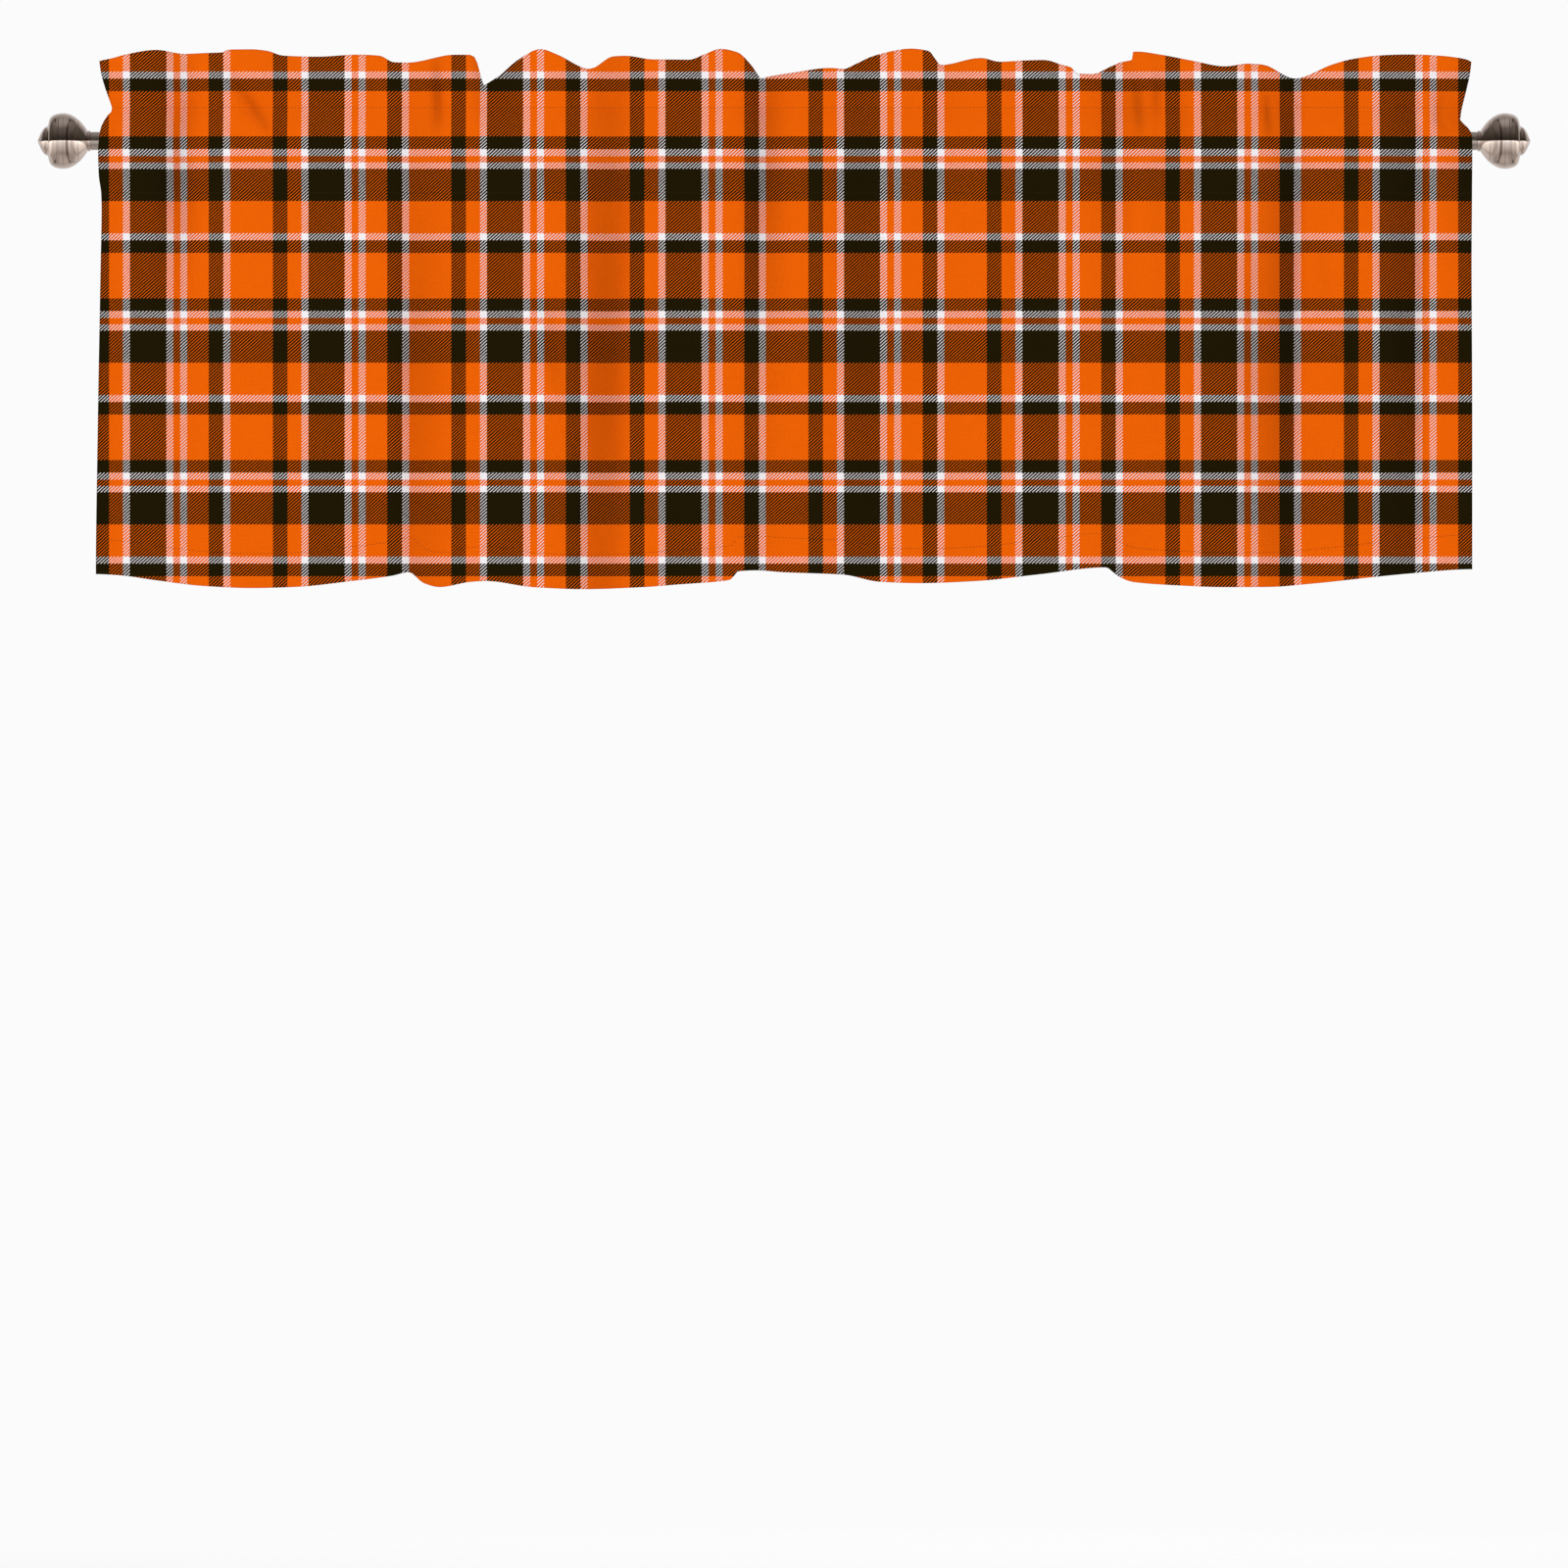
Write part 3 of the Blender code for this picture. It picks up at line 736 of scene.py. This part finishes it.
# ---------------------------------------------------------------- finials and rod
# out: distance from the collar's inner end, outwards. Both in millimetres, from spigot to point.
FinialPoint = namedtuple("FinialPoint", "out radius")
FINIAL_PROFILE = [
    FinialPoint(*row)
    for row in (
        (-20, 5.9), (-19, 6.9), (-0.1, 6.9), (0, 8.4), (0.3, 9.0), (1.3, 9.2), (1.9, 9.0),
        (2.3, 8.7), (2.9, 9.4), (4.4, 11.7), (7.4, 15.5), (10.2, 18.5), (10.6, 18.8),
        (11.0, 18.9), (11.4, 19.4),
        (13, 20.7), (15, 21.9), (19, 23.7), (23.5, 24.45), (27.4, 24.3), (27.8, 24.1),
        (28.2, 23.8), (28.6, 23.9), (29.1, 23.9), (29.8, 23.7), (32.4, 22.7), (34.8, 20.9),
        (36.2, 18.5), (37.0, 15.2), (37.5, 13.7), (37.9, 13.0), (38.4, 12.7), (39.2, 12.4),
        (40.4, 11.7), (41.6, 10.5), (42.6, 9.0), (43.6, 7.2), (45.2, 3.6), (46.2, 1.2), (46.4, 0),
    )
]  # fmt: skip
FINIAL_BASE = 610.3 * MM
FINIAL_TURNS = 144
FINIAL_RINGS = 200


def finial_points(side):
    """The knob and its spigot as a grid: a profile carried round the rod's axis.

    Between the table's points the profile is a smooth curve through them, by distance along it.
    """
    out = np.array([p.out for p in FINIAL_PROFILE]) * MM
    radius = np.array([p.radius for p in FINIAL_PROFILE]) * MM
    along = np.concatenate([[0], np.cumsum(np.hypot(np.diff(out), np.diff(radius)))])
    finer = np.linspace(0, along[-1], FINIAL_RINGS)
    out, radius = monotone_curve(along, out, finer), monotone_curve(along, radius, finer)
    angle = np.linspace(0, 2 * math.pi, FINIAL_TURNS, endpoint=False)
    depth, height = np.outer(radius, np.cos(angle)), np.outer(radius, np.sin(angle))
    reach = side * (FINIAL_BASE + out)[:, None] * np.ones_like(depth)
    return np.stack([reach, depth, height], axis=2)


def finial(name, side, material):
    """A closed turned surface: a flat spigot end, rings of four-sided faces and a blunt point."""
    points = finial_points(side)
    rows, turns = points.shape[:2]
    base = points[:1, 0] * (1, 0, 0)
    rings = points[:-1].reshape(-1, 3)
    tip = points[-1:, 0]
    vertices = np.concatenate([rings, base, tip])
    index = np.arange((rows - 1) * turns).reshape(rows - 1, turns)
    ahead = np.roll(index, -1, axis=1)
    quads = np.stack([index[:-1], index[1:], ahead[1:], ahead[:-1]], axis=2).reshape(-1, 4)
    base_fan = np.stack([index[0], ahead[0], np.full(turns, len(rings))], axis=1)
    tip_fan = np.stack([ahead[-1], index[-1], np.full(turns, len(rings) + 1)], axis=1)
    if side > 0:  # turned round, so that the faces of both knobs point outwards
        quads, base_fan, tip_fan = quads[:, ::-1], base_fan[:, ::-1], tip_fan[:, ::-1]
    faces = quads.tolist() + base_fan.tolist() + tip_fan.tolist()
    return show(name, smooth_mesh(name, vertices, faces), material)


ROD_LENGTH = 1220 * MM
ROD_WALL = 0.8 * MM
ROD_SIDES = 96


def tube(name, material):
    """The rod: an outer and an inner round wall along X, joined by a flat ring at each end."""
    inner = ROD_RADIUS - ROD_WALL
    half = ROD_LENGTH / 2
    section = np.array([(half, ROD_RADIUS), (-half, ROD_RADIUS), (-half, inner), (half, inner)])
    angle = np.linspace(0, 2 * math.pi, ROD_SIDES, endpoint=False)
    along = section[:, :1] * np.ones(ROD_SIDES)
    depth, height = np.outer(section[:, 1], np.cos(angle)), np.outer(section[:, 1], np.sin(angle))
    points = np.stack([along, depth, height], axis=2)
    index = np.arange(4 * ROD_SIDES).reshape(4, ROD_SIDES)
    below, ahead = np.roll(index, -1, axis=0), np.roll(index, -1, axis=1)
    across = np.roll(below, -1, axis=1)
    faces = np.stack([index, below, across, ahead], axis=2).reshape(-1, 4)
    mesh = smooth_mesh(name, points.reshape(-1, 3), faces.tolist())
    mesh.set_sharp_from_angle(angle=math.radians(40))
    return show(name, mesh, material)


# ---------------------------------------------------------------- the pieces
plaid = plaid_material()
satin_nickel = metal_material("satin_nickel", (0.60, 0.55, 0.50, 1), 0.26, grain_axis=0)
polished_nickel = metal_material("polished_nickel", (0.80, 0.71, 0.65, 1), 0.07)

for name, side, node in (("left_finial", -1, "finial_left"), ("right_finial", 1, "finial_right")):
    knob = finial(name, side, polished_nickel)
    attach(knob, "root")
    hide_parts(node)

rod = tube("rod_tube", satin_nickel)
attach(rod, "root")
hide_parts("rod")

valance = show("plaid_valance", grid_mesh("plaid_valance", *cloth_sheet()), plaid)
valance.visible_glossy = False  # the finials reflect the studio alone
thick = valance.modifiers.new("cloth_thickness", "SOLIDIFY")
thick.thickness = CLOTH_THICKNESS
thick.offset = 0
thick.use_quality_normals = True
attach(valance, "root")
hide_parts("valance")

thread = show("seam_stitches", stitches(), thread_material())
thread.visible_glossy = False
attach(thread, "root")

# ---------------------------------------------------------------- studio
VIEW_Z = -565.9 * MM
VIEW_WIDTH = 1.380
FLOOR_Z = -1.35
FLOOR_RADIUS = 3.2
FLOOR_SIDES = 96
FLOOR_FADE = (0.3, FLOOR_RADIUS * 0.97)  # it starts to fade here and is gone there
LENS = 400
SENSOR_WIDTH = 36
SOFTBOX_AIM = (0, 0, -0.15)
DAYLIGHT = 0.52
BACKGROUND = (0.965, 0.965, 0.975, 1)
# What polished metal reflects, from straight down (0) to straight up (1).
ROOM_BANDS = (
    (0.0, (0.50, 0.45, 0.42, 1)),
    (0.10, (0.33, 0.29, 0.27, 1)),
    (0.26, (0.62, 0.57, 0.54, 1)),
    (0.42, (0.90, 0.86, 0.84, 1)),
    (0.495, (1.35, 1.32, 1.30, 1)),
    (0.505, (0.02, 0.015, 0.012, 1)),
    (0.66, (0.06, 0.05, 0.04, 1)),
    (0.90, (0.15, 0.13, 0.12, 1)),
    (1.0, (0.40, 0.36, 0.34, 1)),
)
ROOM_BEHIND = (0.66, 0.62, 0.60, 1)
ROOM_BEHIND_STARTS = (0.35, 0.85)  # from where to where the wall behind takes over
# Upright posts and openings in that room, from dead ahead (0) to full left and right (1).
ROOM_UPRIGHTS = (
    (0.0, (0.75, 0.73, 0.72, 1)),
    (0.08, (1.1, 1.1, 1.1, 1)),
    (0.30, (1.1, 1.08, 1.06, 1)),
    (0.35, (0.42, 0.38, 0.36, 1)),
    (0.45, (0.42, 0.38, 0.36, 1)),
    (0.50, (1.15, 1.12, 1.10, 1)),
    (0.72, (1.15, 1.12, 1.10, 1)),
    (0.78, (0.75, 0.70, 0.67, 1)),
    (0.86, (1.1, 1.06, 1.03, 1)),
    (1.0, (1.35, 1.32, 1.30, 1)),
)

camera = bpy.data.objects.new("camera", bpy.data.cameras.new("camera"))
camera.data.lens = LENS
camera.data.sensor_width = SENSOR_WIDTH
camera.data.clip_end = 60
camera.location = (0, -VIEW_WIDTH * LENS / SENSOR_WIDTH, VIEW_Z)
camera.rotation_euler = (math.pi / 2, 0, 0)
bpy.context.scene.collection.objects.link(camera)
bpy.context.scene.camera = camera

floor_mesh = bpy.data.meshes.new("floor")
angle = np.linspace(0, 2 * math.pi, FLOOR_SIDES, endpoint=False)
rim = [FLOOR_RADIUS * np.cos(angle), FLOOR_RADIUS * np.sin(angle), np.full(FLOOR_SIDES, FLOOR_Z)]
floor_mesh.from_pydata(np.stack(rim, axis=1).tolist(), [], [list(range(FLOOR_SIDES))])


def floor_material():
    """A pale matt floor that fades away towards its rim, so that no horizon shows.

    Its underside is clear, so that the valance can be seen from below.
    """
    kit = new_material("pale_floor")
    kit.shader.inputs["Base Color"].default_value = (0.93, 0.93, 0.93, 1)
    kit.shader.inputs["Roughness"].default_value = 0.95
    kit.shader.inputs["Specular IOR Level"].default_value = 0.0
    place = kit.add("ShaderNodeTexCoord").outputs["Object"]
    flat = kit.add("ShaderNodeVectorMath", operation="MULTIPLY")
    kit.feed(flat.inputs[0], place)
    flat.inputs[1].default_value = (1, 1, 0)
    length = kit.add("ShaderNodeVectorMath", operation="LENGTH")
    kit.feed(length.inputs[0], flat.outputs[0])
    fade = kit.spread(length.outputs["Value"], *FLOOR_FADE, 1, 0)
    underside = kit.add("ShaderNodeNewGeometry").outputs["Backfacing"]
    kit.feed(kit.shader.inputs["Alpha"], kit.math("MULTIPLY", fade, kit.math("SUBTRACT", 1.0, underside)))
    return kit.owner


floor = show("floor", floor_mesh, floor_material())
floor.visible_glossy = False


def softbox(name, place, size, watts):
    """A rectangular area light turned to face the valance, which doesn't show in polished metal."""
    light = bpy.data.lights.new(name, "AREA")
    light.shape = "RECTANGLE"
    light.size, light.size_y = size
    light.energy = watts
    lamp = bpy.data.objects.new(name, light)
    lamp.location = place
    lamp.visible_glossy = False
    away = np.array(place, float) - np.array(SOFTBOX_AIM, float)
    lamp.rotation_euler = (
        math.atan2(math.hypot(away[0], away[1]), away[2]),
        0,
        math.atan2(away[0], -away[1]),
    )
    bpy.context.scene.collection.objects.link(lamp)


softbox("key_softbox", (-2.9, -3.2, 0.9), (1.4, 1.4), 68)
softbox("fill_softbox", (2.9, -3.4, 0.3), (2.0, 2.0), 56)
softbox("back_softbox", (0.6, 4.2, 0.9), (2.2, 1.6), 75)


def studio_world():
    """Even pale light all round, with a plain near-white background.

    Polished metal sees a room instead: pale below the level line and brightest just under it,
    dark above, with upright posts and openings, and a plain wall behind the valance.
    """
    kit = Nodes(bpy.data.worlds.new("studio"), "Background")
    direction = kit.add("ShaderNodeTexCoord").outputs["Generated"]
    parts = kit.add("ShaderNodeSeparateXYZ")
    kit.feed(parts.inputs[0], direction)
    bands = kit.ramp(kit.spread(parts.outputs[2], -1, 1, 0, 1), ROOM_BANDS)
    uprights = kit.ramp(kit.math("ABSOLUTE", parts.outputs[0]), ROOM_UPRIGHTS)
    room = kit.mix(1, bands, uprights, "MULTIPLY")
    behind = kit.spread(parts.outputs[1], *ROOM_BEHIND_STARTS, 0, 1)
    reflected = kit.mix(behind, room, ROOM_BEHIND)
    rays = kit.add("ShaderNodeLightPath")
    unseen = kit.mix(rays.outputs["Is Glossy Ray"], (DAYLIGHT, DAYLIGHT, DAYLIGHT, 1), reflected)
    seen = kit.mix(rays.outputs["Is Camera Ray"], unseen, BACKGROUND)
    kit.feed(kit.shader.inputs["Color"], seen)
    return kit.owner


bpy.context.scene.world = studio_world()
bpy.context.scene.view_settings.view_transform = "Standard"
